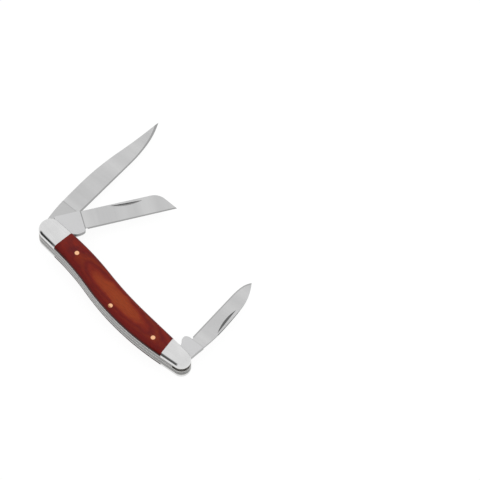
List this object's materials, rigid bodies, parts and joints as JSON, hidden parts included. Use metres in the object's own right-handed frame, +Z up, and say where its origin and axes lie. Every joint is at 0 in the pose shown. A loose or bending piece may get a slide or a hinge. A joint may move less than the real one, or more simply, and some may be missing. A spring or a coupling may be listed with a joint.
{
  "type": "folding pocket knife",
  "caption": "Folding pocket knife: clip, sheepsfoot and pen blades turn out of a slim curved handle with polished bolsters, red-brown wood scales and brass pins.",
  "frame": {"origin": "middle of the rear scale's flat outer face, which the knife lies on", "axes": "+X along the handle from the master bolster to the pen bolster, +Y to the side where the blades come out, +Z up through the layers to the front scale"},
  "size_m": [0.105, 0.0839, 0.0112],
  "materials": {
    "bolster_metal": "polished nickel silver",
    "scale_wood": "dyed laminated wood, buffed to a gloss",
    "brass": "ground flush and polished",
    "liner_metal": "ground edges",
    "spring_steel": "ground and polished back",
    "blade_steel": "satin ground"
  },
  "bodies": {
    "handle": {"rear_master_bolster": "bolster_metal", "rear_pen_bolster": "bolster_metal", "rear_scale": "scale_wood", "rear_upper_scale_pin": "brass", "rear_lower_scale_pin": "brass", "rear_liner": "liner_metal", "rear_spring": "spring_steel", "center_liner": "liner_metal", "front_spring": "spring_steel", "front_liner": "liner_metal", "front_master_bolster": "bolster_metal", "front_pen_bolster": "bolster_metal", "front_scale": "scale_wood", "front_upper_scale_pin": "brass", "front_lower_scale_pin": "brass", "spring_pin": "brass", "master_pivot_pin": "bolster_metal", "pen_pivot_pin": "bolster_metal"},
    "clip": {"clip_blade": "blade_steel"},
    "sheepsfoot": {"sheepsfoot_blade": "blade_steel"},
    "pen": {"pen_blade": "blade_steel"}
  },
  "joints": [
    {"name": "clip_hinge", "type": "hinge", "parent": "handle", "child": "clip", "pos_m": [-0.0435, 0.004, 0.00425], "axis": [0, 0, 1], "range_deg": [-101, 79]},
    {"name": "sheepsfoot_hinge", "type": "hinge", "parent": "handle", "child": "sheepsfoot", "pos_m": [-0.0435, 0.004, 0.00695], "axis": [0, 0, 1], "range_deg": [-65, 115]},
    {"name": "pen_hinge", "type": "hinge", "parent": "handle", "child": "pen", "pos_m": [0.0418, 0.0023, 0.00695], "axis": [0, 0, -1], "range_deg": [-85, 95]}
  ]
}
